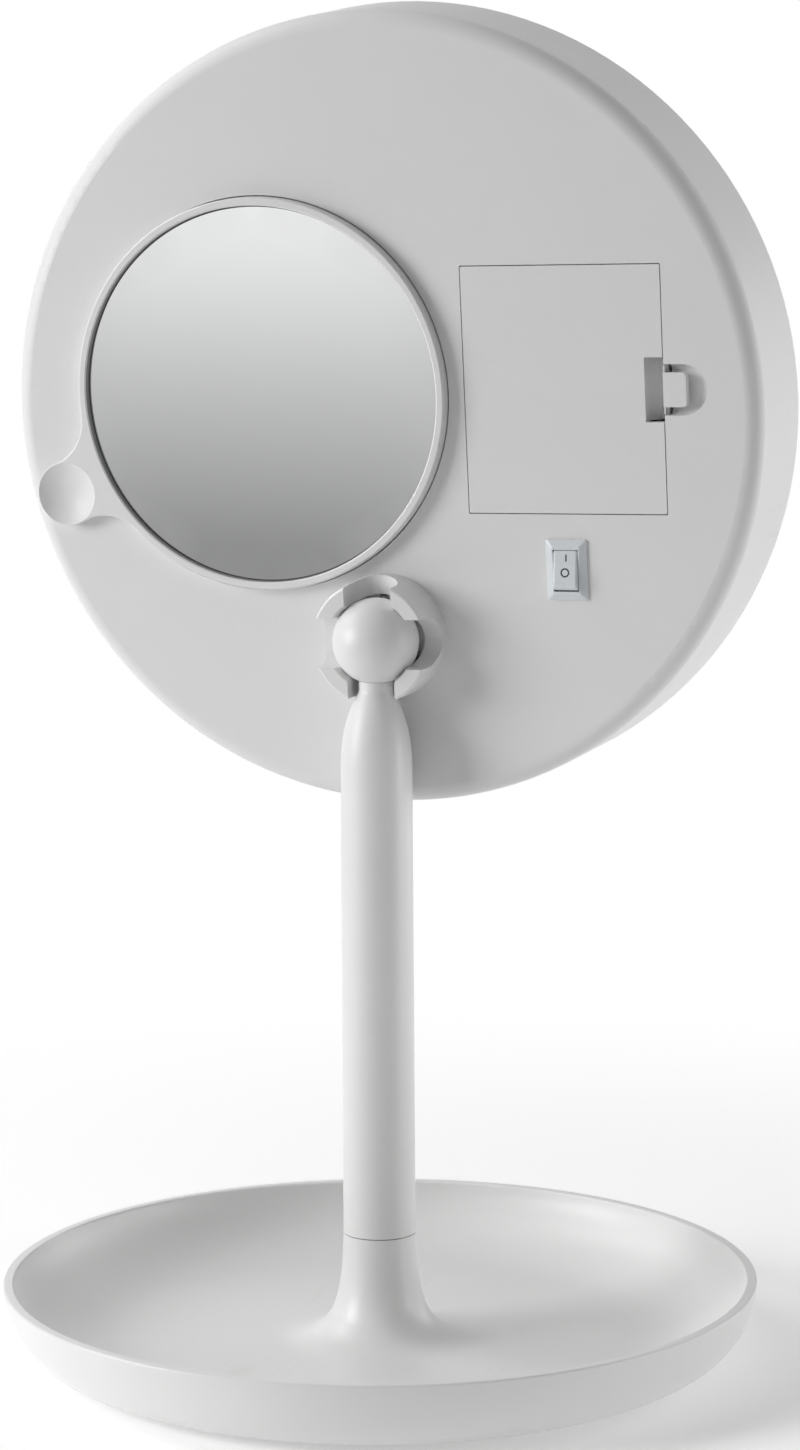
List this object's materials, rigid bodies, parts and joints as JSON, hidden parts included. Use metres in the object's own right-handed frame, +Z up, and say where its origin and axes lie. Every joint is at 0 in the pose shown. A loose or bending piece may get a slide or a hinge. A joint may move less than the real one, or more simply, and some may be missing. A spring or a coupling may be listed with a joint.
{
  "type": "tabletop vanity mirror",
  "caption": "Lighted round vanity mirror on a tray stand, its head tilting on a ball joint, with battery door, rocker switch and a pull-off magnifying mirror on the back.",
  "frame": {"origin": "middle of the stand's underside, on the surface it rests on", "axes": "+Z up along the stem, the main mirror faces -Y, the back with switch and battery door faces +Y"},
  "size_m": [0.1978, 0.19, 0.3373],
  "materials": {
    "stand_plastic": "satin white moulding",
    "head_plastic": "satin white moulding",
    "socket_plastic": "satin white moulding",
    "inner_plastic": "plain white moulding",
    "switch_plastic": "cool white, lightly glossy",
    "diffuser_plastic": "frosted white",
    "mirror_glass": "silvered glass",
    "board": "white solder mask",
    "led_chip": "phosphor lens",
    "cell_can": "sleeved cell",
    "zinc_steel": "zinc plated",
    "spring_steel": "nickel plated",
    "weight_steel": "black lacquered steel",
    "foot_rubber": "pale foam rubber",
    "brass_insert": "turned brass",
    "magnet": "nickel plated magnet"
  },
  "bodies": {
    "stand": {"tray": "stand_plastic", "stem": "stand_plastic", "stem_plug": "inner_plastic", "stem_insert": "brass_insert", "stem_washer": "zinc_steel", "stem_screw": "zinc_steel", "base_weight": "weight_steel", "foot_pad": "foot_rubber"},
    "stud": {"ball_stud": "stand_plastic", "stud_clip": "spring_steel"},
    "head": {"rear_cover": "head_plastic", "socket_collar": "socket_plastic", "socket_plate": "inner_plastic", "socket_screws": "zinc_steel", "front_frame": "inner_plastic", "chassis_screws": "zinc_steel", "main_mirror": "mirror_glass", "diffuser_ring": "diffuser_plastic", "led_board": "board", "leds": "led_chip", "battery_box": "inner_plastic", "cell_1": "cell_can", "cell_2": "cell_can", "cell_3": "cell_can", "contact_flats": "spring_steel", "contact_leaves": "spring_steel", "switch_housing": "switch_plastic", "switch_terminals": "brass_insert", "cover_magnets": "magnet"},
    "rocker": {"switch_rocker": "switch_plastic"},
    "door": {"battery_door": "head_plastic"},
    "latch": {"door_latch": "head_plastic"},
    "magnifier": {"magnifier_frame": "head_plastic", "magnifier_mirror": "mirror_glass", "magnifier_discs": "zinc_steel"}
  },
  "joints": [
    {"name": "head_swivel", "type": "hinge", "parent": "stand", "child": "stud", "pos_m": [0, 0, 0.1713], "axis": [0, 0, 1], "continuous": true},
    {"name": "head_tilt", "type": "hinge", "parent": "stud", "child": "head", "pos_m": [0, 0, 0.1812], "axis": [-1, 0, 0], "range_deg": [-1.2, 85]},
    {"name": "rocker_turn", "type": "hinge", "parent": "head", "child": "rocker", "pos_m": [-0.0475, -0.00698, 0.19976], "axis": [-0.9997, 0.0011, 0.0228], "range_deg": [0, 18]},
    {"name": "door_hinge", "type": "hinge", "parent": "head", "child": "door", "pos_m": [-0.02176, -0.00502, 0.24312], "axis": [-0.0229, -0.0499, -0.9985], "range_deg": [0, 60]},
    {"name": "latch_slide", "type": "slide", "parent": "door", "child": "latch", "axis": [0.9997, -0.0011, -0.0228], "range_m": [0, 0.0018], "stiffness_N_per_m": 1100},
    {"name": "magnifier_pull", "type": "slide", "parent": "head", "child": "magnifier", "axis": [0, 0.9988, -0.0499], "range_m": [0, 0.04]}
  ]
}
